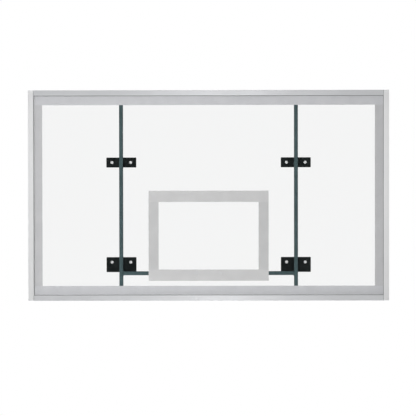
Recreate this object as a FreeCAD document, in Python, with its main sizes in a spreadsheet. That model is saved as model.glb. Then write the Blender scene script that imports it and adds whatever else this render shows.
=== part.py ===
import FreeCAD, Part
import operator
import os
import Sketcher

# Glass basketball backboard: a sheet of tempered glass in an aluminium edge frame, with a printed border and
# target, and a welded steel bar frame behind it that carries the mounting plates and the goal.
# Lengths are in millimetres. The origin is the centre of the mounting bolt pattern, on the plane of the nuts'
# outer faces where a support seats. +X is the viewer's right, +Y runs to the rear and +Z is up.

SIZES = {
    # Whole board
    "board_width": 1828.8,
    "board_height": 1066.8,
    # Mounting bolts: columns between the uprights, rows, lower row above the bottom edge, pairs in one plate
    "mount_columns": 889.0,
    "mount_rows": 508.0,
    "mount_rise": 193.7,
    "bolt_spacing": 95.25,
    # Goal bolts
    "goal_columns": 127.0,
    "goal_rows": 127.0,
    "goal_hole_radius": 5.5,
    # Edge extrusion: front lip, glazing pocket, fin, bar pocket and rear lip on one web
    "web_thickness": 3.0,
    "lip_thickness": 3.0,
    "fin_thickness": 3.0,
    "rear_lip_thickness": 3.0,
    "flange_edge_radius": 0.8,
    "rail_joint_gap": 1.25,
    "seal_inset": 0.3,
    "seal_fit": 0.05,
    # Glass sheet and the gasket round its edge
    "glass_thickness": 12.7,
    "glass_bite": 6.0,
    "gasket_base": 2.5,
    "gasket_leg": 2.0,
    "gasket_sight": 3.0,
    "setting_block_length": 100.0,
    "edge_block_length": 60.0,
    "block_clearance": 0.3,
    # Printed markings on the rear of the glass: the upright lines, and the level ones, which are wider
    "marking_thickness": 0.25,
    "border_line": 49.5,
    "border_level_line": 53.5,
    "target_width": 609.6,
    "target_height": 457.2,
    "target_line": 51.0,
    "target_level_line": 57.0,
    "target_rise": 100.0,
    # Steel bars and the blocks that the upper goal bolts pass through
    "bar_width": 19.05,
    "bar_depth": 25.4,
    "bar_clearance": 0.3,
    "bar_end_clearance": 0.5,
    "goal_block_wall": 6.0,
    "cushion_clearance": 0.3,
    # Mounting plates
    "plate_thickness": 6.35,
    "plate_end_margin": 28.575,
    "plate_row_margin": 25.4,
    "lower_plate_drop": 50.8,
    "plate_corner_radius": 3.0,
    # Mounting bolts, nuts and washers
    "bolt_radius": 4.7625,
    "bolt_clearance": 0.44,
    "bolt_head_height": 6.2,
    "hex_wall": 2.38125,
    "thread_relief": 0.2125,
    "stud_length": 32.0,
    "stud_point": 1.2,
    "nut_height": 8.33,
    "nut_clearance": 0.1,
    "flat_washer_thickness": 1.65,
    "flat_washer_clearance": 0.5,
    "flat_washer_band": 5.0,
    "lock_washer_thickness": 2.4,
    "lock_washer_clearance": 0.25,
    "lock_washer_band": 3.4,
    "lock_washer_split": 1.5,
    # Button head screws that hold the corner keys and the uprights
    "screw_radius": 3.0,
    "screw_clearance": 0.15,
    "screw_head_band": 2.5,
    "screw_head_height": 3.3,
    "screw_head_rim": 0.8,
    "screw_socket_radius": 2.2,
    "screw_socket_depth": 2.0,
    "upright_screw_bite": 18.0,
    # Corner keys
    "key_thickness": 8.0,
    "key_clearance": 0.3,
    "key_first_screw": 20.0,
    "key_screw_pitch": 35.0,
    "key_end_margin": 12.0,
    # End caps of the stiles
    "cap_clearance": 0.3,
    # Bushings in the glass and spacer tubes in the bottom rail, round the goal bolts
    "bushing_wall": 2.5,
    "bushing_clearance": 0.25,
    "bushing_flange": 4.0,
    "spacer_wall": 1.5,
    "spacer_clearance": 0.75,
    "spacer_fit": 0.15,
    # How far a cut runs past the solid
    "cut_overrun": 1.0,
}
CAP_PLUG_SHARE = 0.75
HEXAGON_CORNER_SHARE = 2 / 3**0.5
HEXAGON_FACE_SHARE = 0.95
HEXAGON_CHAMFER_SHARE = 3**0.5

doc = FreeCAD.newDocument("Backboard")
sheet = doc.addObject("Spreadsheet::Sheet", "Sizes")
for row, (alias, number) in enumerate(SIZES.items(), 1):
    sheet.set(f"A{row}", alias)
    sheet.set(f"B{row}", str(number))
    sheet.setAlias(f"B{row}", alias)
doc.recompute()


class Size:
    """A length: its value, and the expression that ties it to the sheet."""

    def __init__(self, value, text):
        self.value = value
        self.text = text

    def __add__(self, other):
        return joined(self, operator.add, "+", other)

    def __sub__(self, other):
        return joined(self, operator.sub, "-", other)

    def __mul__(self, other):
        return joined(self, operator.mul, "*", other)

    def __truediv__(self, other):
        return joined(self, operator.truediv, "/", other)

    def __neg__(self):
        return Size(-self.value, f"-({self.text})")


def sized(length):
    """A plain number, such as a share or zero, as a Size."""
    return length if isinstance(length, Size) else Size(length, str(length))


def joined(left, operation, sign, right):
    right = sized(right)
    return Size(operation(left.value, right.value), f"({left.text} {sign} {right.text})")


def size(alias):
    return Size(sheet.get(alias), f"Sizes.{alias}")


# Where the main faces lie: depths are measured back from the front lip, and edges inward from the outline of
# the board.
half_width = size("board_width") / 2
bottom = -(size("mount_rows") / 2 + size("mount_rise"))
top = bottom + size("board_height")
column = size("mount_columns") / 2
row_height = size("mount_rows") / 2

web = size("web_thickness")
spacer_radius = size("goal_hole_radius") + size("spacer_wall")
pocket_room = (spacer_radius + size("spacer_clearance")) * 2
gasket_edge = web + pocket_room
glass_edge = gasket_edge + size("gasket_base")
flange_width = glass_edge + size("glass_bite")
sight_edge = flange_width + size("gasket_sight")
screw_line = (web + flange_width) / 2

glass_front = size("lip_thickness") + size("gasket_leg")
glass_rear = glass_front + size("glass_thickness")
marking_rear = glass_rear + size("marking_thickness")
fin_front = marking_rear + size("gasket_leg")
bar_front = fin_front + size("fin_thickness")
bar_rear = bar_front + size("bar_depth")
rear_lip_front = bar_rear + size("bar_clearance")
frame_depth = rear_lip_front + size("rear_lip_thickness")
plate_rear = bar_rear + size("plate_thickness")
lock_washer_front = plate_rear + size("flat_washer_thickness")
nut_front = lock_washer_front + size("lock_washer_thickness")
seat_depth = nut_front + size("nut_height")
front = -seat_depth

goal_column = size("goal_columns") / 2
lower_goal_rise = web + size("spacer_clearance") + spacer_radius
crossbar_rise = lower_goal_rise + size("goal_rows")
crossbar_height = bottom + crossbar_rise

nodes = []


def node(thing, name):
    """Names a finished sub-part."""
    thing.Label = name
    nodes.append(thing)
    return thing


def move(thing, across, back, up, axis=(0, 1, 0), angle=0):
    """Turns a thing about an axis and ties its place to the sheet."""
    thing.Placement = FreeCAD.Placement(FreeCAD.Vector(), FreeCAD.Rotation(FreeCAD.Vector(axis), angle))
    for name, place in (("x", across), ("y", back), ("z", up)):
        thing.setExpression(f"Placement.Base.{name}", sized(place).text)
    return thing


def new_sketch(body, role, away=0):
    """A sketch on one of the body's own planes, or parallel to it at a distance along its normal."""
    sketch = body.newObject("Sketcher::SketchObject", "Sketch")
    plane = next(feature for feature in body.Origin.OriginFeatures if feature.Role == role)
    sketch.AttachmentSupport = [(plane, "")]
    sketch.MapMode = "FlatFace"
    sketch.setExpression("AttachmentOffset.Base.z", sized(away).text)
    return sketch


def hold_point(sketch, geometry, point, across, up):
    """Holds a point of a sketch by its distances from the sketch's origin."""
    for kind, axis, place in (("DistanceX", -2, across), ("DistanceY", -1, up)):
        place = sized(place)
        if place.value == 0:
            sketch.addConstraint(Sketcher.Constraint("PointOnObject", geometry, point, axis))
            continue
        index = sketch.addConstraint(Sketcher.Constraint(kind, -1, 1, geometry, point, place.value))
        sketch.setExpression(f"Constraints[{index}]", place.text)


def outline(sketch, corners):
    """A closed outline of straight sides."""
    corners = [(sized(across), sized(up)) for across, up in corners]
    points = [FreeCAD.Vector(across.value, up.value, 0) for across, up in corners]
    sides = [
        sketch.addGeometry(Part.LineSegment(start, end))
        for start, end in zip(points, points[1:] + points[:1])
    ]
    for side, following in zip(sides, sides[1:] + sides[:1]):
        sketch.addConstraint(Sketcher.Constraint("Coincident", side, 2, following, 1))
    for side, (across, up) in zip(sides, corners):
        hold_point(sketch, side, 1, across, up)


def rectangle(sketch, width, height):
    outline(sketch, [(0, 0), (width, 0), (width, height), (0, height)])


def circle(sketch, across, up, radius):
    centre = FreeCAD.Vector(sized(across).value, sized(up).value, 0)
    ring = sketch.addGeometry(Part.Circle(centre, FreeCAD.Vector(0, 0, 1), radius.value))
    hold_point(sketch, ring, 3, across, up)
    index = sketch.addConstraint(Sketcher.Constraint("Radius", ring, radius.value))
    sketch.setExpression(f"Constraints[{index}]", radius.text)


def pad(body, sketch, length, reverse=False):
    feature = body.newObject("PartDesign::Pad", "Pad")
    feature.Profile = sketch
    feature.Reversed = reverse
    feature.setExpression("Length", length.text)
    doc.recompute()
    return feature


def pocket(body, sketch, length=None):
    """A cut backwards from the sketch, to a depth or through everything behind it."""
    feature = body.newObject("PartDesign::Pocket", "Pocket")
    feature.Profile = sketch
    if length is None:
        feature.Type = "ThroughAll"
    else:
        feature.setExpression("Length", length.text)
    doc.recompute()
    return feature


def round_edges(body, feature, direction, corners, radius):
    """Rounds the straight edges that run along a direction through the given corner points."""
    names = []
    for index, edge in enumerate(feature.Shape.Edges, 1):
        start = edge.Vertexes[0].Point
        end = edge.Vertexes[-1].Point
        lean = (end - start).cross(direction).Length
        aside = min((start - corner).cross(direction).Length for corner in corners)
        if max(lean, aside) < FreeCAD.Base.Precision.confusion():
            names.append(f"Edge{index}")
    fillet = body.newObject("PartDesign::Fillet", "Fillet")
    fillet.Base = (feature, names)
    fillet.setExpression("Radius", radius.text)
    doc.recompute()


def new_body(name):
    return node(doc.addObject("PartDesign::Body", name), name)


def bar(name, across, back, up, width, height, depth, holes=()):
    """A flat bar or sheet with its front face to the viewer, drilled from front to back."""
    body = new_body(name)
    face = new_sketch(body, "XZ_Plane")
    rectangle(face, width, height)
    for hole_across, hole_up, radius in holes:
        circle(face, hole_across, hole_up, radius)
    pad(body, face, depth, reverse=True)
    return move(body, across, back, up)


def primitive(kind, **lengths):
    """A basic solid whose lengths are tied to the sheet."""
    solid = doc.addObject(kind, "Solid")
    for name, length in lengths.items():
        solid.setExpression(name, length.text)
    return solid


def cylinder(radius, length, start=0):
    """A round solid along Z."""
    return move(primitive("Part::Cylinder", Radius=radius, Height=length), 0, 0, start)


def hexagon(flat_radius, length, start=0):
    """A six-sided solid along Z, given the distance from its axis to its flats."""
    prism = primitive("Part::Prism", Circumradius=flat_radius * HEXAGON_CORNER_SHARE, Height=length)
    return move(prism, 0, 0, start)


def block(width, depth, height, across=0, back=0, up=0):
    """A rectangular solid."""
    return move(primitive("Part::Box", Length=width, Width=depth, Height=height), across, back, up)


def combined(kind, base, tool):
    result = doc.addObject(kind, "Solid")
    result.Base = base
    result.Tool = tool
    return result


def cut(base, tool):
    return combined("Part::Cut", base, tool)


def fused(base, tool):
    result = combined("Part::Fuse", base, tool)
    result.Refine = True
    return result


def group(name, piece, places):
    """Copies of one piece as separate solids of one sub-part. A place is a position, an axis and an angle."""
    copies = []
    for place in places:
        copy = doc.addObject("App::Link", "Copy")
        copy.LinkedObject = piece
        copies.append(move(copy, *place))
    whole = doc.addObject("Part::Compound", name)
    whole.Links = copies
    return node(whole, name)


FACING_REAR = ((1, 0, 0), -90)
FACING_FRONT = ((1, 0, 0), 90)
SIDES = (("left", -1), ("right", 1))

# Edge frame: four lengths of one extrusion. The stiles run the full height and the rails butt against them.
rail_length = size("board_width") - (flange_width + size("rail_joint_gap")) * 2
stile_length = size("board_height") - web * 2
key_station = flange_width + size("key_first_screw")
key_stations = (key_station, key_station + size("key_screw_pitch"))
key_end = key_stations[-1] + size("key_end_margin")
screw_hole = size("screw_radius") + size("screw_clearance")


def edge_extrusion(name, length, across, up, angle, rear_holes, goal_holes=()):
    """A length of the edge extrusion, drilled for screws in its rear lip and for goal bolts right through."""
    body = new_body(name)
    section = new_sketch(body, "XY_Plane")
    outline(
        section,
        [
            (0, 0),
            (flange_width, 0),
            (flange_width, size("lip_thickness")),
            (web, size("lip_thickness")),
            (web, fin_front),
            (flange_width, fin_front),
            (flange_width, bar_front),
            (web, bar_front),
            (web, rear_lip_front),
            (flange_width, rear_lip_front),
            (flange_width, frame_depth),
            (0, frame_depth),
        ],
    )
    length_pad = pad(body, section, length)
    outer_corners = [
        FreeCAD.Vector(across_edge, depth, 0)
        for across_edge in (0, flange_width.value)
        for depth in (0, frame_depth.value)
    ]
    round_edges(body, length_pad, FreeCAD.Vector(0, 0, 1), outer_corners, size("flange_edge_radius"))
    rear_sketch = new_sketch(body, "XZ_Plane", -rear_lip_front)
    for along in rear_holes:
        circle(rear_sketch, screw_line, along, screw_hole)
    pocket(body, rear_sketch)
    if goal_holes:
        bolt_sketch = new_sketch(body, "XZ_Plane")
        spacer_sketch = new_sketch(body, "XZ_Plane", -fin_front)
        for along in goal_holes:
            circle(bolt_sketch, lower_goal_rise, along, size("goal_hole_radius"))
            circle(spacer_sketch, lower_goal_rise, along, spacer_radius + size("spacer_fit"))
        pocket(body, bolt_sketch)
        pocket(body, spacer_sketch, size("fin_thickness"))
    move(body, across, front, up, angle=angle)


stile_holes = [station - web for station in key_stations]
stile_holes += [stile_length - hole for hole in stile_holes]
edge_extrusion("left_stile", stile_length, -half_width, bottom + web, 0, stile_holes)
edge_extrusion("right_stile", stile_length, half_width, top - web, 180, stile_holes)

rail_holes = [station - flange_width - size("rail_joint_gap") for station in key_stations]
rail_holes += [rail_length - hole for hole in rail_holes]
rail_holes += [rail_length / 2 - column, rail_length / 2 + column]
rail_goal_holes = [rail_length / 2 - goal_column, rail_length / 2 + goal_column]
edge_extrusion("top_rail", rail_length, -(rail_length / 2), top, 90, rail_holes)
edge_extrusion("bottom_rail", rail_length, rail_length / 2, bottom, -90, rail_holes, rail_goal_holes)

# Joint seals: a bead of sealant in each butt joint, along the two lips and the web.
seal_inset = size("seal_inset")
seal_width = size("rail_joint_gap") - size("seal_fit") * 2
seal_height = flange_width - seal_inset * 2
seal = cut(
    block(seal_width, frame_depth - seal_inset * 2, seal_height),
    block(
        seal_width + size("cut_overrun") * 2,
        frame_depth - size("lip_thickness") - size("rear_lip_thickness") + seal_inset * 2,
        seal_height,
        -size("cut_overrun"),
        size("lip_thickness") - seal_inset * 2,
        web - seal_inset * 2,
    ),
)
seal_outer = half_width - flange_width - size("seal_fit")
seal_inner = seal_outer - seal_width
group(
    "joint_seals",
    seal,
    [
        (across, front + seal_inset, level, (0, 1, 0), angle)
        for left, right, level, angle in (
            (-seal_outer, seal_inner, bottom + seal_inset, 0),
            (-seal_inner, seal_outer, top - seal_inset, 180),
        )
        for across in (left, right)
    ],
)

# Corner keys: L-shaped plates behind the rear lips that join each stile to its rails.
CORNERS = (
    ("bottom_left", -1, bottom, 1, 0),
    ("bottom_right", 1, bottom, 1, -90),
    ("top_right", 1, top, -1, 180),
    ("top_left", -1, top, -1, 90),
)
key_start = web + size("key_clearance")
key_leg = key_end - key_start
key_width = flange_width - web - size("key_clearance") * 2
key_front = rear_lip_front - size("key_thickness")
for corner, side, level, inward, angle in CORNERS:
    key = new_body(f"{corner}_corner_key")
    key_sketch = new_sketch(key, "XZ_Plane")
    outline(
        key_sketch,
        [
            (0, 0),
            (key_leg, 0),
            (key_leg, key_width),
            (key_width, key_width),
            (key_width, key_leg),
            (0, key_leg),
        ],
    )
    for station in key_stations:
        circle(key_sketch, station - key_start, screw_line - key_start, screw_hole)
        circle(key_sketch, screw_line - key_start, station - key_start, screw_hole)
    pad(key, key_sketch, size("key_thickness"), reverse=True)
    key_corner = half_width * side - key_start * side
    move(key, key_corner, front + key_front, level + key_start * inward, angle=angle)


def button_screw(length):
    """A button head screw along Z, with its domed head below zero and a six-sided socket in it."""
    height = size("screw_head_height")
    radius = size("screw_radius") + size("screw_head_band")
    crown = height - size("screw_head_rim")
    crown_radius = (radius * radius + crown * crown) / (crown * 2)
    dome = move(primitive("Part::Sphere", Radius=crown_radius), 0, 0, crown_radius - height)
    head = combined("Part::Common", cylinder(radius, height, -height), dome)
    socket = hexagon(size("screw_socket_radius"), size("screw_socket_depth"), -height)
    return cut(fused(head, cylinder(size("screw_radius"), length)), socket)


rear_lip_back = front + frame_depth
corner_screw_places = []
for corner, side, level, inward, angle in CORNERS:
    for station in key_stations:
        for across, up in ((station, screw_line), (screw_line, station)):
            corner_screw_places.append(
                (half_width * side - across * side, rear_lip_back, level + up * inward, *FACING_FRONT)
            )
corner_screw = button_screw(size("rear_lip_thickness") + size("key_thickness"))
group("corner_key_screws", corner_screw, corner_screw_places)

# End caps: moulded plates on the stiles' ends, each with a plug in the glazing pocket.
plug_side = web + size("cap_clearance")
plug_front = size("lip_thickness") + size("cap_clearance")
for corner, side, level, inward, angle in CORNERS:
    cap = new_body(f"{corner}_end_cap")
    cap_sketch = new_sketch(cap, "XY_Plane")
    rectangle(cap_sketch, flange_width, frame_depth)
    pad(cap, cap_sketch, web)
    plug_sketch = new_sketch(cap, "XY_Plane", web)
    outline(
        plug_sketch,
        [
            (plug_side, plug_front),
            (flange_width - plug_side, plug_front),
            (flange_width - plug_side, fin_front - size("cap_clearance")),
            (plug_side, fin_front - size("cap_clearance")),
        ],
    )
    pad(cap, plug_sketch, pocket_room * CAP_PLUG_SHARE)
    outer_start = half_width * side
    start = outer_start if side == -inward else outer_start - flange_width * side
    move(cap, start, front, level, angle=0 if inward > 0 else 180)

# Glass sheet, with two holes for the bushings of the upper goal bolts.
bushing_radius = size("goal_hole_radius") + size("bushing_wall")
bushing_hole = bushing_radius + size("bushing_clearance")
glass_width = size("board_width") - glass_edge * 2
glass_height = size("board_height") - glass_edge * 2
bar(
    "glass_panel",
    -(glass_width / 2),
    front + glass_front,
    bottom + glass_edge,
    glass_width,
    glass_height,
    size("glass_thickness"),
    [
        (glass_width / 2 + goal_column * side, crossbar_rise - glass_edge, bushing_hole)
        for name, side in SIDES
    ],
)

# Gasket: four lengths of vinyl channel round the glass, mitred at the corners.
gasket_width = sight_edge - gasket_edge
gasket_slot_edge = gasket_width + size("cut_overrun")
gasket_across = size("board_width") - gasket_edge * 2
gasket_up = size("board_height") - gasket_edge * 2
for name, length, across, up, angle in (
    ("left_gasket", gasket_up, gasket_edge - half_width, bottom + gasket_edge, 0),
    ("right_gasket", gasket_up, half_width - gasket_edge, top - gasket_edge, 180),
    ("top_gasket", gasket_across, -(gasket_across / 2), top - gasket_edge, 90),
    ("bottom_gasket", gasket_across, gasket_across / 2, bottom + gasket_edge, -90),
):
    gasket = new_body(name)
    strip_sketch = new_sketch(gasket, "XZ_Plane")
    outline(
        strip_sketch,
        [(0, 0), (gasket_width, gasket_width), (gasket_width, length - gasket_width), (0, length)],
    )
    pad(gasket, strip_sketch, fin_front - size("lip_thickness"), reverse=True)
    slot_sketch = new_sketch(gasket, "XZ_Plane", -size("gasket_leg"))
    outline(
        slot_sketch,
        [
            (size("gasket_base"), size("gasket_base")),
            (gasket_slot_edge, gasket_slot_edge),
            (gasket_slot_edge, length - gasket_slot_edge),
            (size("gasket_base"), length - size("gasket_base")),
        ],
    )
    pocket(gasket, slot_sketch, marking_rear - glass_front)
    move(gasket, across, front + size("lip_thickness"), up, angle=angle)

# Blocks in the glazing pocket: two carry the glass, six keep its other edges central.
block_depth = fin_front - size("lip_thickness") - size("block_clearance") * 2
block_back = front + size("lip_thickness") + size("block_clearance")
setting_half = size("setting_block_length") / 2
edge_half = size("edge_block_length") / 2
setting_block = block(size("setting_block_length"), block_depth, pocket_room)
group(
    "setting_blocks",
    setting_block,
    [(half_width / 2 * side - setting_half, block_back, bottom + web) for name, side in SIDES],
)
level_block = block(size("edge_block_length"), block_depth, pocket_room)
upright_block = block(pocket_room, block_depth, size("edge_block_length"))
group(
    "top_edge_blocks",
    level_block,
    [(half_width / 2 * side - edge_half, block_back, top - gasket_edge) for name, side in SIDES],
)
quarter_height = size("board_height") / 4
group(
    "side_edge_blocks",
    upright_block,
    [
        (across, block_back, level - edge_half)
        for across in (web - half_width, half_width - gasket_edge)
        for level in (bottom + quarter_height, top - quarter_height)
    ],
)


# Printed markings: a border band that runs under the gasket to the glass edge, and the target rectangle.
def printed_frame(left, low, width, height, line_across, line_up):
    """A flat rectangular frame on the rear of the glass."""
    depth = size("marking_thickness")
    overrun = size("cut_overrun")
    back = front + glass_rear
    sheet_solid = block(width, depth, height, left, back, low)
    opening = block(
        width - line_across * 2,
        depth + overrun * 2,
        height - line_up * 2,
        left + line_across,
        back - overrun,
        low + line_up,
    )
    return cut(sheet_solid, opening)


border = printed_frame(
    glass_edge - half_width,
    bottom + glass_edge,
    glass_width,
    glass_height,
    size("border_line"),
    size("border_level_line"),
)
node(border, "border_marking")

target = printed_frame(
    -(size("target_width") / 2),
    bottom + size("target_rise"),
    size("target_width"),
    size("target_height"),
    size("target_line"),
    size("target_level_line"),
)
for name, side in SIDES:
    drill = cylinder(bushing_hole, size("marking_thickness") + size("cut_overrun") * 2)
    drill_start = front + glass_rear - size("cut_overrun")
    target = cut(target, move(drill, goal_column * side, drill_start, crossbar_height, *FACING_REAR))
node(target, "target_marking")

# Steel bar frame: two uprights held in the rails, and a crossbar in three lengths welded to two goal blocks.
bar_width = size("bar_width")
upright_start = bottom + web + size("bar_end_clearance")
upright_length = size("board_height") - (web + size("bar_end_clearance")) * 2
upright_screw_level = screw_line - web - size("bar_end_clearance")
for name, side in SIDES:
    bar(
        f"{name}_upright",
        column * side - bar_width / 2,
        front + bar_front,
        upright_start,
        bar_width,
        upright_length,
        size("bar_depth"),
        [
            (bar_width / 2, upright_screw_level, screw_hole),
            (bar_width / 2, upright_length - upright_screw_level, screw_hole),
        ],
    )

goal_block_half = size("goal_hole_radius") + size("goal_block_wall")
for name, side in SIDES:
    bar(
        f"{name}_goal_block",
        goal_column * side - goal_block_half,
        front + bar_front,
        crossbar_height - goal_block_half,
        goal_block_half * 2,
        goal_block_half * 2,
        size("bar_depth"),
        [(goal_block_half, goal_block_half, size("goal_hole_radius"))],
    )

crossbar_low = crossbar_height - bar_width / 2
outer_length = column - bar_width / 2 - goal_column - goal_block_half
centre_length = (goal_column - goal_block_half) * 2
CROSSBAR = (
    ("left_crossbar", bar_width / 2 - column, outer_length),
    ("centre_crossbar", -(centre_length / 2), centre_length),
    ("right_crossbar", goal_column + goal_block_half, outer_length),
)
for name, across, length in CROSSBAR:
    bar(name, across, front + bar_front, crossbar_low, length, bar_width, size("bar_depth"))

upright_screw = button_screw(size("rear_lip_thickness") + size("bar_clearance") + size("upright_screw_bite"))
group(
    "upright_screws",
    upright_screw,
    [
        (column * side, rear_lip_back, level, *FACING_FRONT)
        for name, side in SIDES
        for level in (bottom + screw_line, top - screw_line)
    ],
)

# Cushion strips between the bars and the glass.
cushion_depth = bar_front - marking_rear
cushion_start = sight_edge + size("cushion_clearance")
for name, side in SIDES:
    bar(
        f"{name}_upright_cushion",
        column * side - bar_width / 2,
        front + marking_rear,
        bottom + cushion_start,
        bar_width,
        size("board_height") - cushion_start * 2,
        cushion_depth,
    )
flange_radius = bushing_radius + size("bushing_flange")
pad_end = goal_column + flange_radius + size("cushion_clearance")
outer_pad_length = column - bar_width / 2 - size("cushion_clearance") - pad_end
centre_pad_length = (goal_column - flange_radius - size("cushion_clearance")) * 2
for name, across, length in (
    ("left_crossbar_cushion", -(pad_end + outer_pad_length), outer_pad_length),
    ("centre_crossbar_cushion", -(centre_pad_length / 2), centre_pad_length),
    ("right_crossbar_cushion", pad_end, outer_pad_length),
):
    bar(name, across, front + marking_rear, crossbar_low, length, bar_width, cushion_depth)

# Mounting plates welded to the rear of the uprights, two bolt holes in each.
plate_width = size("bolt_spacing") + size("plate_end_margin") * 2
plate_hole = size("bolt_radius") + size("bolt_clearance")
for level_name, level, drop in (
    ("upper", row_height, size("plate_row_margin")),
    ("lower", -row_height, size("lower_plate_drop")),
):
    for name, side in SIDES:
        plate = new_body(f"{level_name}_{name}_mounting_plate")
        plate_sketch = new_sketch(plate, "XZ_Plane")
        plate_height = size("plate_row_margin") + drop
        rectangle(plate_sketch, plate_width, plate_height)
        for hole in (size("plate_end_margin"), plate_width - size("plate_end_margin")):
            circle(plate_sketch, hole, drop, plate_hole)
        plate_pad = pad(plate, plate_sketch, size("plate_thickness"), reverse=True)
        plate_corners = [
            FreeCAD.Vector(across, 0, up)
            for across in (0, plate_width.value)
            for up in (0, plate_height.value)
        ]
        round_edges(plate, plate_pad, FreeCAD.Vector(0, 1, 0), plate_corners, size("plate_corner_radius"))
        move(plate, column * side - plate_width / 2, front + bar_rear, level - drop)

# Mounting bolts: heads to the front, clamped by washers and nuts, with free studs for the support.
bolt_axes = [
    (column * side + size("bolt_spacing") / 2 * turn, level)
    for name, side in SIDES
    for turn in (-1, 1)
    for level in (row_height, -row_height)
]


def bolt_places(depth):
    return [(across, front + depth, level, *FACING_REAR) for across, level in bolt_axes]


hex_radius = size("bolt_radius") + size("hex_wall")
hex_face = hex_radius * HEXAGON_FACE_SHARE


def turned_hexagon(length, start, small_radius, large_radius):
    """A bolt head or nut along Z, its corners turned down to a cone at the end with the smaller radius."""
    cone = primitive("Part::Cone", Radius1=small_radius, Radius2=large_radius, Height=length)
    return combined("Part::Common", hexagon(hex_radius, length, start), move(cone, 0, 0, start))


bolt_grip = seat_depth - bar_rear
stud_radius = size("bolt_radius") - size("thread_relief")
stud_run = size("stud_length") - size("stud_point")
head_height = size("bolt_head_height")
head_base = hex_face + head_height * HEXAGON_CHAMFER_SHARE
head = turned_hexagon(head_height, -head_height, hex_face, head_base)
stud_tip = primitive(
    "Part::Cone",
    Radius1=stud_radius,
    Radius2=stud_radius - size("stud_point"),
    Height=size("stud_point"),
)
move(stud_tip, 0, 0, bolt_grip + stud_run)
bolt = fused(head, cylinder(size("bolt_radius"), bolt_grip))
bolt = fused(bolt, cylinder(stud_radius, stud_run, bolt_grip))
bolt = fused(bolt, stud_tip)
group("mounting_bolts", bolt, bolt_places(bar_rear))

washer_bore = size("bolt_radius") + size("flat_washer_clearance")
flat_washer = cut(
    cylinder(washer_bore + size("flat_washer_band"), size("flat_washer_thickness")),
    cylinder(washer_bore, size("flat_washer_thickness")),
)
group("flat_washers", flat_washer, bolt_places(plate_rear))

lock_bore = size("bolt_radius") + size("lock_washer_clearance")
lock_washer = cut(
    cylinder(lock_bore + size("lock_washer_band"), size("lock_washer_thickness")),
    cylinder(lock_bore, size("lock_washer_thickness")),
)
split = block(
    size("lock_washer_split"),
    lock_bore + size("lock_washer_band") + size("cut_overrun"),
    size("lock_washer_thickness"),
    -(size("lock_washer_split") / 2),
)
group("lock_washers", cut(lock_washer, split), bolt_places(lock_washer_front))

nut_base = hex_face + size("nut_height") * HEXAGON_CHAMFER_SHARE
nut = cut(
    turned_hexagon(size("nut_height"), 0, nut_base, hex_face),
    cylinder(size("bolt_radius") + size("nut_clearance"), size("nut_height")),
)
group("mounting_nuts", nut, bolt_places(nut_front))

# Goal mount: flanged bushings in the glass and spacer tubes in the bottom rail.
bushing_length = bar_front - glass_front
bushing = fused(
    cylinder(bushing_radius, bushing_length),
    cylinder(flange_radius, bar_front - marking_rear, marking_rear - glass_front),
)
bushing = cut(bushing, cylinder(size("goal_hole_radius"), bushing_length))
group(
    "glass_bushings",
    bushing,
    [(goal_column * side, front + glass_front, crossbar_height, *FACING_REAR) for name, side in SIDES],
)
spacer_length = rear_lip_front - size("lip_thickness")
spacer = cut(cylinder(spacer_radius, spacer_length), cylinder(size("goal_hole_radius"), spacer_length))
group(
    "rail_spacers",
    spacer,
    [
        (goal_column * side, front + size("lip_thickness"), bottom + lower_goal_rise, *FACING_REAR)
        for name, side in SIDES
    ],
)

doc.recompute()
failed = [thing.Label for thing in doc.Objects if {"Invalid", "Error"} & set(thing.State)]
failed += [thing.Label for thing in nodes if thing.Shape.isNull() or not thing.Shape.isValid()]
if failed:
    raise RuntimeError(f"these did not build: {failed}")

os.makedirs("parts", exist_ok=True)
for thing in nodes:
    thing.Shape.exportStep(f"parts/{thing.Label}.step")
print(f"{len(nodes)} sub-parts, {sum(len(thing.Shape.Solids) for thing in nodes)} solids")
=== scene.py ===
import math

import bmesh
import bpy
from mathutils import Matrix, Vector, noise


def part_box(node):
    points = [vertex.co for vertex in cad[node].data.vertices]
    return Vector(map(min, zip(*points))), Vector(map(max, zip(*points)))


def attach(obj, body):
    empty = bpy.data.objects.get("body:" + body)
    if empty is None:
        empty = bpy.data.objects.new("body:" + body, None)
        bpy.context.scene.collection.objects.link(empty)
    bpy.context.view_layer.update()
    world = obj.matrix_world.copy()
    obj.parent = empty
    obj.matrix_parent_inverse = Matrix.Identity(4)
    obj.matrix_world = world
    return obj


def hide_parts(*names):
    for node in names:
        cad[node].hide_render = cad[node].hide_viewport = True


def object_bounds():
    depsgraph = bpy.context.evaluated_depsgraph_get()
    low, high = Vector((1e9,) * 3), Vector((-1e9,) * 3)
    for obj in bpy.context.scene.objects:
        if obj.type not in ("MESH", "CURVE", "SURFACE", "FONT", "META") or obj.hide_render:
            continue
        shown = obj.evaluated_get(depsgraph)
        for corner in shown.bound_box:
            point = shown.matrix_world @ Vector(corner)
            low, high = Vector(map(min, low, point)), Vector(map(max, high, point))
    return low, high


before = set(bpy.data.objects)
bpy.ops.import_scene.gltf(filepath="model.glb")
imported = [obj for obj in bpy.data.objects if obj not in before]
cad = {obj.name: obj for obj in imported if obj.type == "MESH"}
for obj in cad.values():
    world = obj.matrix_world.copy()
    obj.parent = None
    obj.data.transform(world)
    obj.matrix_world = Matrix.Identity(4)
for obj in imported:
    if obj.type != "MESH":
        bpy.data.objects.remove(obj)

cad_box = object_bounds()


# Edge frame: two full-height stiles and two rails butted between them, sawn from aluminium extrusion with a
# glazing channel and a rear pocket. The metal is etched and clear anodised to a satin. The stiles carry a
# paler copy of it than the rails, which is painted light, as all four are one metal. The die has left faint
# lines along every length, and highlights spread across them.

GRAIN_LOW = 0.35
GRAIN_HIGH = 0.65
GRAIN_DETAIL = 3.0


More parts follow.
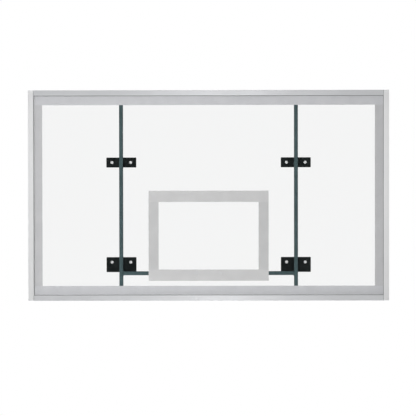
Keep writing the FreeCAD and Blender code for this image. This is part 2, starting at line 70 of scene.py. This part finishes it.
def new_finish(name, metallic=0.0, specular=0.5):
    """A material, its nodes and its shader, with the values that are the same all over the surface."""
    finish = bpy.data.materials.new(name)
    finish.use_nodes = True
    shader = finish.node_tree.nodes["Principled BSDF"]
    shader.inputs["Metallic"].default_value = metallic
    shader.inputs["Specular IOR Level"].default_value = specular
    return finish, finish.node_tree, shader


def add(tree, kind, inputs, **settings):
    """A shader node with its settings made, and each input filled by a value or another node's output."""
    made = tree.nodes.new("ShaderNode" + kind)
    for name, value in settings.items():
        setattr(made, name, value)
    for socket, value in inputs.items():
        if isinstance(value, bpy.types.NodeSocket):
            tree.links.new(value, made.inputs[socket])
        else:
            made.inputs[socket].default_value = value
    return made


def grain(tree, size, drawn_out=(1, 1, 1), detail=GRAIN_DETAIL):
    """Cloudy noise with spots about size metres across, drawn out along the part's axes."""
    where = add(tree, "TexCoord", {}).outputs["Object"]
    laid = add(tree, "Mapping", {"Vector": where, "Scale": [1 / out for out in drawn_out]}).outputs[0]
    return add(tree, "TexNoise", {"Vector": laid, "Scale": 1 / size, "Detail": detail}).outputs["Fac"]


def spread(tree, factor, low, high, start=GRAIN_LOW, end=GRAIN_HIGH, **settings):
    """The part of a factor between start and end, spread from low to high."""
    reach = {"Value": factor, "From Min": start, "From Max": end, "To Min": low, "To Max": high}
    return add(tree, "MapRange", reach, **settings).outputs["Result"]


def tinted(tree, factor, first, second):
    """A colour between two, by a factor."""
    mixed = add(tree, "Mix", {0: factor, 6: (*first, 1), 7: (*second, 1)}, data_type="RGBA")
    return mixed.outputs[2]


def cover(tree, shader, colour, roughness, height, relief):
    """Lets grains set a shader's colour and roughness, and raise its surface by up to relief metres."""
    raised = add(tree, "Bump", {"Height": height, "Strength": 1.0, "Distance": relief}).outputs["Normal"]
    for socket, source in (("Base Color", colour), ("Roughness", roughness), ("Normal", raised)):
        tree.links.new(source, shader.inputs[socket])


def dress(piece_names, finish):
    """Gives CAD nodes a finish."""
    for name in piece_names:
        for slot in cad[name].material_slots:
            slot.material = finish


# The stile tones are painted lighter and the rail tones painted darker: painted light and shade on one
# metal.
STILES = ["left_stile", "right_stile"]
STILE_PALE_PAINTED_LIT = (0.783, 0.785, 0.788)
STILE_DEEP_PAINTED_LIT = (0.750, 0.753, 0.757)
RAILS = ["top_rail", "bottom_rail"]
RAIL_PALE_PAINTED_SHADED = (0.642, 0.650, 0.664)
RAIL_DEEP_PAINTED_SHADED = (0.607, 0.615, 0.630)
SATIN_METALLIC = 0.55
SATIN_GLOSS = (0.43, 0.51)
SATIN_SPREAD = 0.85
DIE_LINE = 0.0016
DIE_BAND = 0.008
DIE_STRETCH = 400
DIE_RELIEF = 0.00005
HANDLING_MARK = 0.11
MARK_DETAIL = 5.0
CLOUDY_LOW = 0.8
CLOUDY_HIGH = 1.2


def satin_aluminium(name, pale, deep, along):
    """Anodised extrusion with its die lines along one axis, and cloudy marks where it was handled."""
    finish, tree, shader = new_finish(name, metallic=SATIN_METALLIC)
    shader.inputs["Anisotropic"].default_value = SATIN_SPREAD
    across = add(tree, "Tangent", {}, direction_type="RADIAL", axis=along).outputs[0]
    tree.links.new(across, shader.inputs["Tangent"])
    drawn_out = [DIE_STRETCH if axis == along else 1 for axis in "XYZ"]
    lines = grain(tree, DIE_LINE, drawn_out)
    bands = grain(tree, DIE_BAND, drawn_out)
    marks = grain(tree, HANDLING_MARK, detail=MARK_DETAIL)
    cloudy = add(tree, "Math", {0: bands, 1: marks}, operation="ADD").outputs[0]
    tone = tinted(tree, spread(tree, cloudy, 0, 1, CLOUDY_LOW, CLOUDY_HIGH), deep, pale)
    cover(tree, shader, tone, spread(tree, marks, *SATIN_GLOSS), lines, DIE_RELIEF)
    return finish


# Stiles and rails get lit and shaded copies of one satin, which is painted light.
satin_stile_painted_lit = satin_aluminium("satin_stile_painted_lit", STILE_PALE_PAINTED_LIT, STILE_DEEP_PAINTED_LIT, along="Z")
dress(STILES, satin_stile_painted_lit)
satin_rail_painted_shaded = satin_aluminium("satin_rail_painted_shaded", RAIL_PALE_PAINTED_SHADED, RAIL_DEEP_PAINTED_SHADED, along="X")
dress(RAILS, satin_rail_painted_shaded)


# Joint seals: a bead of dark sealant in each butt joint between a rail and a stile, along both lips and
# the outer wall. It is run in with a gun as the frame goes together, wiped back, and sets to a matt rubber.

SEAL_PALE = (0.050, 0.051, 0.053)
SEAL_DEEP = (0.032, 0.033, 0.035)
CLOUD_DETAIL = 4.0


def mottled(name, pale, deep, cloud, skin, relief, gloss, metallic=0.0, specular=0.5):
    """A finish whose tone and gloss drift in clouds over a fine raised skin, with its sizes in metres."""
    finish, tree, shader = new_finish(name, metallic, specular)
    clouds = grain(tree, cloud, detail=CLOUD_DETAIL)
    tone = tinted(tree, spread(tree, clouds, 0, 1), deep, pale)
    cover(tree, shader, tone, spread(tree, clouds, *gloss), grain(tree, skin), relief)
    return finish


joint_sealant = mottled(
    "joint_sealant", SEAL_PALE, SEAL_DEEP,
    cloud=0.003, skin=0.0008, relief=0.00006, gloss=(0.55, 0.75), specular=0.3,
)
dress(["joint_seals"], joint_sealant)


# Corner keys: flat angle pieces that slide into the rear pocket of a stile and a rail and hold the corner
# square. They are cast in aluminium, tumbled, and left bare with a fine sandy skin.

KEY_PALE = (0.62, 0.625, 0.63)
KEY_DEEP = (0.45, 0.455, 0.46)
CORNERS = ["bottom_left", "bottom_right", "top_left", "top_right"]

cast_key = mottled(
    "cast_key", KEY_PALE, KEY_DEEP,
    cloud=0.025, skin=0.0012, relief=0.0001, gloss=(0.50, 0.68), metallic=0.85,
)
dress([corner + "_corner_key" for corner in CORNERS], cast_key)


# End caps: moulded polymer caps that plug the open ends of the stiles, flush with the rails.
# They are coloured through to match the frame, with the light texture of the mould.

CAP_PALE = (0.68, 0.686, 0.697)
CAP_DEEP = (0.63, 0.636, 0.647)

grey_cap = mottled(
    "grey_cap", CAP_PALE, CAP_DEEP,
    cloud=0.018, skin=0.0007, relief=0.00006, gloss=(0.42, 0.58), specular=0.4,
)
dress([corner + "_end_cap" for corner in CORNERS], grey_cap)


# Frame screws: button-head socket screws, sixteen through the rear lips into the corner keys and four into
# the uprights. They are headed and turned in stainless steel, bright, with a few rub marks from the key.

STEEL_PALE = (0.66, 0.655, 0.645)
STEEL_DEEP = (0.48, 0.475, 0.47)

stainless_screw = mottled(
    "stainless_screw", STEEL_PALE, STEEL_DEEP,
    cloud=0.0012, skin=0.0007, relief=0.00002, gloss=(0.24, 0.40), metallic=1.0,
)
dress(["corner_key_screws", "upright_screws"], stainless_screw)


# Glazing: four lengths of grey vinyl channel pushed over the edge of the sheet, and rubber blocks that
# carry its weight and keep it off the metal. The vinyl is extruded, and shows as a dull line round
# the glass.

VINYL_PALE = (0.27, 0.272, 0.275)
VINYL_DEEP = (0.21, 0.212, 0.215)
BLOCK_PALE = (0.030, 0.030, 0.032)
BLOCK_DEEP = (0.016, 0.016, 0.018)

grey_vinyl = mottled(
    "grey_vinyl", VINYL_PALE, VINYL_DEEP,
    cloud=0.004, skin=0.0008, relief=0.00006, gloss=(0.50, 0.68), specular=0.35,
)
dress([side + "_gasket" for side in ("left", "right", "top", "bottom")], grey_vinyl)
black_rubber = mottled(
    "black_rubber", BLOCK_PALE, BLOCK_DEEP,
    cloud=0.003, skin=0.0015, relief=0.0001, gloss=(0.60, 0.80), specular=0.3,
)
dress(["setting_blocks", "top_edge_blocks", "side_edge_blocks"], black_rubber)


# Glass: one clear tempered float sheet, cut, drilled for the two upper goal bolts and ground to a small
# arris before toughening. It lets light through, mirrors more as it is seen aslant, and carries faint
# wiping marks.

ARRIS = 0.0012
GLASS_FIT = 0.00006
GLASS_HOLE = 0.00825
GLASS_HOLE_SIDES = 64
GLASS_TINT = (0.991, 0.993, 0.9925)
MIRROR_BLEND = 0.5
MIRROR_HEAD_ON = 0.04
MIRROR_RISE = 5.0
WIPING_MARK = 0.16
WIPING_STRETCH = (1, 1, 0.4)
WIPING_GLOSS = (0.0, 0.05)
SEAM = 0.00001
CREASE = 35


def place(name, made, finish, crease=CREASE):
    """A piece of the object from built faces, riding on its one body, smooth but for its creases."""
    bmesh.ops.recalc_face_normals(made, faces=made.faces)
    mesh = bpy.data.meshes.new(name)
    made.to_mesh(mesh)
    made.free()
    for face in mesh.polygons:
        face.use_smooth = True
    mesh.set_sharp_from_angle(angle=math.radians(crease))
    mesh.materials.append(finish)
    piece = bpy.data.objects.new(name, mesh)
    bpy.context.scene.collection.objects.link(piece)
    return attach(piece, "root")


def pair_of_rings(node):
    """The centres, left and right, of a node's two like rings, seen from the front."""
    low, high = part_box(node)
    half = (high.z - low.z) / 2
    return [(low.x + half, low.z + half), (high.x - half, low.z + half)]


def ring(x, z, radius, sides):
    """The corners of a many-sided ring, seen from the front."""
    turns = [math.tau * side / sides for side in range(sides)]
    return [(x + radius * math.cos(turn), z + radius * math.sin(turn)) for turn in turns]


clear_glass = bpy.data.materials.new("clear_glass")
clear_glass.use_nodes = True
tree = clear_glass.node_tree
tree.nodes.remove(tree.nodes["Principled BSDF"])
wiping = grain(tree, WIPING_MARK, WIPING_STRETCH, detail=MARK_DETAIL)
clear = add(tree, "BsdfTransparent", {"Color": (*GLASS_TINT, 1)})
mirror = add(tree, "BsdfGlossy", {"Roughness": spread(tree, wiping, *WIPING_GLOSS)})
aslant = add(tree, "LayerWeight", {"Blend": MIRROR_BLEND}).outputs["Facing"]
steep = add(tree, "Math", {0: aslant, 1: MIRROR_RISE}, operation="POWER").outputs[0]
share = spread(tree, steep, MIRROR_HEAD_ON, 1.0, 0.0, 1.0)
glass_mix = add(tree, "MixShader", {0: share, 1: clear.outputs[0], 2: mirror.outputs[0]})
tree.links.new(glass_mix.outputs[0], tree.nodes["Material Output"].inputs["Surface"])

low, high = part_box("glass_panel")
low += Vector([GLASS_FIT] * 3)
high -= Vector([GLASS_FIT] * 3)
sheet = bpy.data.curves.new("glass_outline", "CURVE")
sheet.dimensions = "2D"
sheet.fill_mode = "BOTH"
sheet.extrude = (high.y - low.y) / 2 - ARRIS
sheet.bevel_depth = ARRIS
sheet.bevel_resolution = 0
sheet.offset = -ARRIS
edges = [[(low.x, low.z), (high.x, low.z), (high.x, high.z), (low.x, high.z)]]
for x, z in pair_of_rings("glass_bushings"):
    edges.append(ring(x, z, GLASS_HOLE + GLASS_FIT, GLASS_HOLE_SIDES)[::-1])
for corners in edges:
    edge = sheet.splines.new("POLY")
    edge.points.add(len(corners) - 1)
    for point, (x, z) in zip(edge.points, corners):
        point.co = (x, z, 0, 1)
    edge.use_cyclic_u = True
outline = bpy.data.objects.new("glass_outline", sheet)
bpy.context.scene.collection.objects.link(outline)
bpy.context.view_layer.update()
filled = outline.evaluated_get(bpy.context.evaluated_depsgraph_get())
flat_glass = bpy.data.meshes.new_from_object(filled)
bpy.data.objects.remove(outline)
made = bmesh.new()
made.from_mesh(flat_glass)
bpy.data.meshes.remove(flat_glass)
bmesh.ops.remove_doubles(made, verts=made.verts, dist=SEAM)
for point in made.verts:
    x, z, depth = point.co
    point.co = (x, (low.y + high.y) / 2 + depth, z)
glass = place("glass_sheet", made, clear_glass)
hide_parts("glass_panel")


# Markings: the border band and the shooting target, screen printed in pale ceramic enamel on the rear of
# the sheet and fired on as the glass is toughened, so they are thin, hard and slightly uneven. The level
# runs go from side to side, and are a shade paler than the upright runs between them.

BORDER_PALE = (0.606, 0.606, 0.625)
BORDER_DEEP = (0.577, 0.578, 0.598)
BORDER_LEVEL_RUN = 0.0535
BORDER_UPRIGHT_SHADE = (0.925, 0.920, 0.908)
TARGET_PALE = (0.614, 0.609, 0.611)
TARGET_DEEP = (0.586, 0.581, 0.584)
TARGET_LEVEL_RUN = 0.0570
TARGET_UPRIGHT_SHADE = (0.930, 0.934, 0.934)

for node, pale, deep, level_run, upright_shade in (
    ("border_marking", BORDER_PALE, BORDER_DEEP, BORDER_LEVEL_RUN, BORDER_UPRIGHT_SHADE),
    ("target_marking", TARGET_PALE, TARGET_DEEP, TARGET_LEVEL_RUN, TARGET_UPRIGHT_SHADE),
):
    fired_enamel = mottled(
        "fired_" + node, pale, deep,
        cloud=0.05, skin=0.0009, relief=0.00003, gloss=(0.38, 0.52), specular=0.3,
    )
    tree = fired_enamel.node_tree
    colour = tree.nodes["Principled BSDF"].inputs["Base Color"]
    where = add(tree, "TexCoord", {}).outputs["Object"]
    rise = add(tree, "SeparateXYZ", {"Vector": where}).outputs["Z"]
    low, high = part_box(node)
    between_levels = {0: rise, 1: (low.z + high.z) / 2, 2: (high.z - low.z) / 2 - level_run}
    upright = add(tree, "Math", between_levels, operation="COMPARE").outputs[0]
    shading = {0: upright, 6: colour.links[0].from_socket, 7: (*upright_shade, 1)}
    shaded = add(tree, "Mix", shading, data_type="RGBA", blend_type="MULTIPLY").outputs[2]
    tree.links.new(shaded, colour)
    dress([node], fired_enamel)


# Rear bars: two uprights, a crossbar in three lengths and two drilled goal blocks, sawn from flat steel bar
# and welded up. They are powder coated a slate grey, with the fine orange peel that the coat dries to.

BAR_PALE = (0.061, 0.090, 0.094)
BAR_DEEP = (0.046, 0.069, 0.072)
CROSSBARS = ["left_crossbar", "centre_crossbar", "right_crossbar"]

slate_coat = mottled(
    "slate_coat", BAR_PALE, BAR_DEEP,
    cloud=0.07, skin=0.0016, relief=0.00012, gloss=(0.40, 0.56), specular=0.3,
)
dress(["left_upright", "right_upright", "left_goal_block", "right_goal_block", *CROSSBARS], slate_coat)


# Bar welds: short fillet beads where the crossbar meets the uprights and, smaller, the goal blocks.
# They are laid by hand in overlapping ripples, brushed, and coated over with the bars.

BEAD_LEG = 0.0042
BEAD_BLOCK_MARGIN = 0.0003
BEAD_RIPPLE = 0.0030
BEAD_RIPPLE_STEPS = 4
BEAD_LEAST_STEPS = 8
BEAD_RIPPLE_SHARE = 0.10
BEAD_BELLY_SHARE = 0.60
BEAD_TOE_SHARE = 0.22
BEAD_WANDER_SHARE = 0.12
BEAD_WANDER_LENGTH = 0.008
BEAD_CRATER = 0.0006
BEAD_SINK = 0.0003
BEAD_CREASE = 60


def loft(made, rings):
    """Faces through rings of as many points each, closed at both ends."""
    rows = [[made.verts.new(point) for point in points] for points in rings]
    for row, after in zip(rows, rows[1:]):
        for side in range(len(row)):
            beside = (side + 1) % len(row)
            made.faces.new((row[side], row[beside], after[beside], after[side]))
    made.faces.new(reversed(rows[0]))
    made.faces.new(rows[-1])


def bead(made, start, end, first, second, leg):
    """A rippled fillet from start to end in the corner of two faces that run off along first and second."""
    start, end, first, second = (Vector(given) for given in (start, end, first, second))
    length = (end - start).length
    steps = max(BEAD_LEAST_STEPS, round(length / BEAD_RIPPLE * BEAD_RIPPLE_STEPS))
    rings = []
    for step in range(steps + 1):
        run = length * step / steps
        root = start + (end - start) * step / steps
        ripple = abs(math.sin(math.pi * run / BEAD_RIPPLE))
        crater = math.sqrt(min(1.0, (min(run, length - run) + BEAD_CRATER) / leg))
        wander = 1 + BEAD_WANDER_SHARE * noise.noise(root / BEAD_WANDER_LENGTH)
        reach = leg * crater * wander * (1 - BEAD_RIPPLE_SHARE * (1 - ripple))
        toe = reach * BEAD_TOE_SHARE
        shoulder = reach * (1 - BEAD_RIPPLE_SHARE)
        belly = reach * BEAD_BELLY_SHARE * (1 + BEAD_RIPPLE_SHARE * ripple)
        rings.append([
            root - (first + second) * BEAD_SINK,
            root + first * reach - second * BEAD_SINK,
            root + first * shoulder + second * toe,
            root + (first + second) * belly,
            root + first * toe + second * shoulder,
            root + second * reach - first * BEAD_SINK,
        ])
    loft(made, rings)


made = bmesh.new()
block_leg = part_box("left_goal_block")[1].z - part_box("left_crossbar")[1].z - BEAD_BLOCK_MARGIN
for name in CROSSBARS:
    low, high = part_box(name)
    for x, away in ((low.x, 1), (high.x, -1)):
        at_block = name == "centre_crossbar" or x * away > 0
        leg = block_leg if at_block else BEAD_LEG
        for z, side in ((low.z, -1), (high.z, 1)):
            bead(made, (x, low.y + leg, z), (x, high.y - leg, z), (0, 0, side), (away, 0, 0), leg)
crossbar_welds = place("crossbar_welds", made, slate_coat, BEAD_CREASE)


# Bar cushions: strips of closed-cell foam, stuck to the front of the bars so that the steel never touches
# the glass. The foam is slate grey with a matt, finely pitted skin, and bulges a little where it is pressed.

FOAM_PALE = (0.073, 0.111, 0.117)
FOAM_DEEP = (0.058, 0.088, 0.092)
FOAM_STEP = 0.006
FOAM_BULGE = 0.0015
FOAM_WAVER = 0.0004
FOAM_WAVER_LENGTH = 0.045
FOAM_END_SHARE = 0.25
FOAM_CREASE = 50
FOAM_SIDE = [
    (1.0, -0.50), (0.36, -0.43), (0.13, -0.20), (0.0, 0.0), (0.13, 0.20), (0.36, 0.43), (1.0, 0.50),
]

foam_skin = mottled(
    "foam_skin", FOAM_PALE, FOAM_DEEP,
    cloud=0.04, skin=0.0012, relief=0.0002, gloss=(0.72, 0.92), specular=0.15,
)
for name in ["left_upright", "right_upright", *CROSSBARS]:
    low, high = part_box(name + "_cushion")
    upright = high.z - low.z > high.x - low.x
    middle = (low + high) / 2
    half = ((high.x - low.x) if upright else (high.z - low.z)) / 2
    thick = high.y - low.y
    start, end = (low.z, high.z) if upright else (low.x, high.x)
    steps = round((end - start) / FOAM_STEP)
    rings = []
    for step in range(steps + 1):
        along = start + (end - start) * step / steps
        from_end = (min(step, steps - step) + FOAM_END_SHARE) * FOAM_STEP
        fullness = math.sqrt(min(1.0, from_end / thick))
        points = []
        for side in (-1, 1):
            waver = (1 + noise.noise((along / FOAM_WAVER_LENGTH, side, middle.x))) / 2
            for drawn_in, depth in FOAM_SIDE[::-side]:
                across = side * (half - FOAM_WAVER * waver - FOAM_BULGE * drawn_in)
                y = middle.y + thick * depth * fullness
                spot = (middle.x + across, y, along) if upright else (along, y, middle.z + across)
                points.append(spot)
        rings.append(points)
    made = bmesh.new()
    loft(made, rings)
    cushion = place(name + "_foam", made, foam_skin, FOAM_CREASE)
    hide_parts(name + "_cushion")


# Mounting plates: four drilled steel plates welded to the rear of the uprights, on which the board hangs.
# They are sheared from bar, with the corners eased, and powder coated black over the welds.

PLATE_PALE = (0.012, 0.015, 0.015)
PLATE_DEEP = (0.004, 0.006, 0.006)
PLATE_LEG = 0.0050
PLATE_WELD_MARGIN = 0.0045
PLATES = ["upper_left", "upper_right", "lower_left", "lower_right"]

black_coat = mottled(
    "black_coat", PLATE_PALE, PLATE_DEEP,
    cloud=0.030, skin=0.0020, relief=0.00014, gloss=(0.42, 0.60), specular=0.18,
)
dress([corner + "_mounting_plate" for corner in PLATES], black_coat)

made = bmesh.new()
for corner in PLATES:
    level, side = corner.split("_")
    low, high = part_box(corner + "_mounting_plate")
    bar_low, bar_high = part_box(side + "_upright")
    head = high.z - PLATE_WELD_MARGIN
    for x, away in ((bar_low.x, -1), (bar_high.x, 1)):
        beside_crossbar = level == "lower" and away * x < 0
        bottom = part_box("left_crossbar")[1].z if beside_crossbar else low.z
        foot = bottom + PLATE_WELD_MARGIN
        bead(made, (x, low.y, foot), (x, low.y, head), (away, 0, 0), (0, -1, 0), PLATE_LEG)
plate_welds = place("plate_welds", made, black_coat, BEAD_CREASE)


# Mounting bolts: eight hexagon bolts with their heads to the front, tightened on the plates by a washer, a
# split lock washer and a nut, with a long thread free for the backstop. All are steel, bright zinc plated.

ZINC_PALE = (0.90, 0.905, 0.91)
ZINC_DEEP = (0.80, 0.805, 0.81)
BOLT_RADIUS = 0.0047625
BOLT_PITCH = 0.09525
BOLT_POINT = 0.0012
BOLT_SIDES = 36
HEX_HALF = 0.00714375
HEX_FACE = HEX_HALF * 0.95
HEX_CENTRE = HEX_HALF * 0.57
HEX_CHAMFER = math.tan(math.radians(30))
HEX_TURN = math.radians(60)
HEAD_HEIGHT = 0.0062
THREAD_PITCH = 0.0015875
THREAD_DEPTH = 0.00085
THREAD_ROWS = 6
THREAD_FLANK = 1.35
THREAD_CREST_SHARE = 0.12

bright_zinc = mottled(
    "bright_zinc", ZINC_PALE, ZINC_DEEP,
    cloud=0.0035, skin=0.0006, relief=0.00002, gloss=(0.38, 0.48), metallic=0.8,
)
dress(["flat_washers", "lock_washers", "mounting_nuts"], bright_zinc)

head_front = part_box("mounting_bolts")[0].y
point_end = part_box("mounting_bolts")[1].y
nuts_low, nuts_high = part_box("mounting_nuts")
turns = [math.tau * side / BOLT_SIDES for side in range(BOLT_SIDES)]
hexagon = [HEX_HALF / math.cos(turn % HEX_TURN - HEX_TURN / 2) for turn in turns]
sections = [
    [(HEX_CENTRE, head_front)] * BOLT_SIDES,
    [(HEX_FACE, head_front)] * BOLT_SIDES,
    [(wide, head_front + (wide - HEX_FACE) * HEX_CHAMFER) for wide in hexagon],
    [(wide, head_front + HEAD_HEIGHT) for wide in hexagon],
    [(BOLT_RADIUS, head_front + HEAD_HEIGHT)] * BOLT_SIDES,
]
thread_length = point_end - nuts_low.y
rows = math.ceil(thread_length / THREAD_PITCH * THREAD_ROWS)
for row in range(rows + 1):
    run = thread_length * row / rows
    y = nuts_low.y + run
    started = min(1.0, row / THREAD_ROWS)
    point_radius = BOLT_RADIUS - BOLT_POINT + point_end - y
    thread = []
    for turn in turns:
        phase = (run / THREAD_PITCH - turn / math.tau) % 1
        groove = min(1.0, max(0.0, THREAD_FLANK * abs(2 * phase - 1) - THREAD_CREST_SHARE))
        thread.append((min(BOLT_RADIUS - THREAD_DEPTH * groove * started, point_radius), y))
    sections.append(thread)

made = bmesh.new()
for side in ("left", "right"):
    bar_low, bar_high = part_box(side + "_upright")
    for pair in (-1, 1):
        x = (bar_low.x + bar_high.x) / 2 + pair * BOLT_PITCH / 2
        for z in (nuts_low.z + HEX_HALF, nuts_high.z - HEX_HALF):
            rings = []
            for section in sections:
                rings.append([
                    (x + wide * math.cos(turn), y, z + wide * math.sin(turn))
                    for (wide, y), turn in zip(section, turns)
                ])
            loft(made, rings)
bolts = place("threaded_bolts", made, bright_zinc)
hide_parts("mounting_bolts")


# Goal fittings: flanged nylon bushings that line the two holes in the glass, and aluminium tubes that stop
# the lower goal bolts from crushing the bottom rail. Soft moulded plugs, pressed in from the front, keep
# all four bores clean until a goal is bolted on.

NYLON_PALE = (0.58, 0.584, 0.592)
NYLON_DEEP = (0.51, 0.514, 0.522)
TUBE_PALE = (0.68, 0.685, 0.69)
TUBE_DEEP = (0.56, 0.565, 0.57)
PLUG_SIDES = 40
PLUG_PROFILE = [
    (0.0016, 0.0009), (0.0020, 0.0006), (0.0030, 0.0003), (0.0044, 0.0003), (0.0050, 0.0006),
    (0.0053, 0.0012), (0.0053, 0.0034), (0.0049, 0.0039), (0.0049, 0.0047), (0.0053, 0.0052),
    (0.0053, 0.0060), (0.0045, 0.0085),
]

pale_nylon = mottled(
    "pale_nylon", NYLON_PALE, NYLON_DEEP,
    cloud=0.006, skin=0.0008, relief=0.00003, gloss=(0.42, 0.58), specular=0.35,
)
dress(["glass_bushings"], pale_nylon)
drawn_tube = mottled(
    "drawn_tube", TUBE_PALE, TUBE_DEEP,
    cloud=0.004, skin=0.0006, relief=0.00003, gloss=(0.32, 0.48), metallic=0.9,
)
dress(["rail_spacers"], drawn_tube)

for name, lined, face, plug_finish, slot in (
    ("glass_hole_plugs", "glass_bushings", "glass_bushings", pale_nylon, "grey_nylon"),
    ("rail_hole_plugs", "rail_spacers", "bottom_rail", grey_cap, "grey_moulding"),
):
    made = bmesh.new()
    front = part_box(face)[0].y
    for centre_x, centre_z in pair_of_rings(lined):
        rings = []
        for radius, depth in PLUG_PROFILE:
            rings.append([(x, front + depth, z) for x, z in ring(centre_x, centre_z, radius, PLUG_SIDES)])
        loft(made, rings)
    place(name, made, plug_finish)


# Studio: a pale round floor that fades into a white surround, a soft lamp in front, a little to the left,
# and others behind, beside and above. An upright strip lamp gives only the frame and the bolts a highlight.
# Mirrors see a pale room, dim only where the camera stands, which is nearly square in front of the board.

FLOOR_HEIGHT = -1.60
FLOOR_RADIUS = 2.0
FLOOR_CLEAR = 1.1
FLOOR_SIDES = 96
FLOOR_WHITE = (0.93, 0.93, 0.93)
FLOOR_ROUGHNESS = 0.9
ROOM_LIGHT = 0.13
ROOM_TINT = (0.985, 0.995, 1.0)
ROOM_WHITE = (1.0, 1.0, 1.0)
ROOM_LOW = 0.50
ROOM_LOW_Z = -0.5
ROOM_HIGH = 1.0
ROOM_HIGH_Z = 0.6
ROOM_DIM = 0.02
DIM_EDGE = 0.978
DIM_CORE = 0.988
LAMPS = [
    ("front", (-0.85, -4.6, 0.36), (1.2, 1.2), 206),
    ("rear", (0.8, 5.6, 1.6), (2.4, 2.4), 215),
    ("left", (-4.6, 0.4, 0.9), (2.0, 2.0), 88),
    ("right", (4.6, 0.4, 0.9), (2.0, 2.0), 66),
    ("top", (0.0, 0.4, 4.2), (2.0, 2.0), 75),
]
STRIP_LAMP = ("strip", (0.07, -2.8, 0.20), (0.3, 1.9), 9.6)
CAMERA_PLACE = (0.0313, -8.0, 0.1266)
CAMERA_TILT = (89.246, 0.089, 0.245)
CAMERA_LENS = 135.533

pale_floor, tree, shader = new_finish("pale_floor")
shader.inputs["Base Color"].default_value = (*FLOOR_WHITE, 1)
shader.inputs["Roughness"].default_value = FLOOR_ROUGHNESS
where = add(tree, "TexCoord", {}).outputs["Object"]
flat = add(tree, "VectorMath", {0: where, 1: (1, 1, 0)}, operation="MULTIPLY").outputs[0]
reach = add(tree, "VectorMath", {0: flat}, operation="LENGTH").outputs["Value"]
faded = spread(tree, reach, 0.0, 1.0, FLOOR_CLEAR, FLOOR_RADIUS, interpolation_type="SMOOTHSTEP")
open_air = add(tree, "BsdfTransparent", {})
floor_mix = add(tree, "MixShader", {0: faded, 1: shader.outputs[0], 2: open_air.outputs[0]})
tree.links.new(floor_mix.outputs[0], tree.nodes["Material Output"].inputs["Surface"])
made = bmesh.new()
bmesh.ops.create_circle(made, cap_ends=True, segments=FLOOR_SIDES, radius=FLOOR_RADIUS)
mesh = bpy.data.meshes.new("studio_floor")
made.to_mesh(mesh)
made.free()
mesh.materials.append(pale_floor)
floor = bpy.data.objects.new("studio_floor", mesh)
floor.location.z = FLOOR_HEIGHT
bpy.context.scene.collection.objects.link(floor)

world = bpy.data.worlds.new("white_room")
bpy.context.scene.world = world
world.use_nodes = True
tree = world.node_tree
tree.nodes.clear()
path = add(tree, "LightPath", {})
toward = add(tree, "TexCoord", {}).outputs["Generated"]
upward = add(tree, "SeparateXYZ", {"Vector": toward}).outputs["Z"]
ahead = add(tree, "VectorMath", {0: toward, 1: (0, -1, 0)}, operation="DOT_PRODUCT").outputs["Value"]
smooth = {"interpolation_type": "SMOOTHSTEP"}
room = spread(tree, upward, ROOM_LOW, ROOM_HIGH, ROOM_LOW_Z, ROOM_HIGH_Z, **smooth)
dimmed = spread(tree, ahead, room, ROOM_DIM, DIM_EDGE, DIM_CORE, **smooth)
lighting = add(tree, "Background", {"Color": (*ROOM_TINT, 1), "Strength": ROOM_LIGHT})
mirrored = add(tree, "Background", {"Strength": dimmed})
white = add(tree, "Background", {"Color": (*ROOM_WHITE, 1), "Strength": 1.0})
straight = {0: path.outputs["Is Camera Ray"], 1: path.outputs["Is Transmission Ray"]}
seen = add(tree, "Math", straight, operation="MAXIMUM").outputs[0]
in_mirrors = path.outputs["Is Glossy Ray"]
inner = add(tree, "MixShader", {0: in_mirrors, 1: lighting.outputs[0], 2: mirrored.outputs[0]})
outer = add(tree, "MixShader", {0: seen, 1: inner.outputs[0], 2: white.outputs[0]})
tree.links.new(outer.outputs[0], add(tree, "OutputWorld", {}).inputs["Surface"])


def hang_lamp(name, spot, size, power):
    """A soft lamp, as wide and high as its size says, that faces the board and shows in no mirror."""
    lamp = bpy.data.lights.new(name, "AREA")
    lamp.shape = "ELLIPSE"
    lamp.size, lamp.size_y = size
    lamp.energy = power
    hung = bpy.data.objects.new(name, lamp)
    hung.location = spot
    to_board = (cad_box[0] + cad_box[1]) / 2 - Vector(spot)
    hung.rotation_euler = to_board.to_track_quat("-Z", "Y").to_euler()
    hung.visible_glossy = False
    bpy.context.scene.collection.objects.link(hung)
    return hung


for lamp in LAMPS:
    hang_lamp(*lamp)
strip = hang_lamp(*STRIP_LAMP)
strip.visible_glossy = True
strip.data.diffuse_factor = 0.0
bright_metal = bpy.data.collections.new("bright_metal")
for piece in [bolts, *(cad[name] for name in STILES + RAILS)]:
    bright_metal.objects.link(piece)
strip.light_linking.receiver_collection = bright_metal

camera = bpy.data.objects.new("camera", bpy.data.cameras.new("camera"))
camera.location = CAMERA_PLACE
camera.rotation_euler = [math.radians(angle) for angle in CAMERA_TILT]
camera.data.lens = CAMERA_LENS
bpy.context.scene.collection.objects.link(camera)
bpy.context.scene.camera = camera
bpy.context.scene.view_settings.view_transform = "Standard"

bpy.context.view_layer.update()
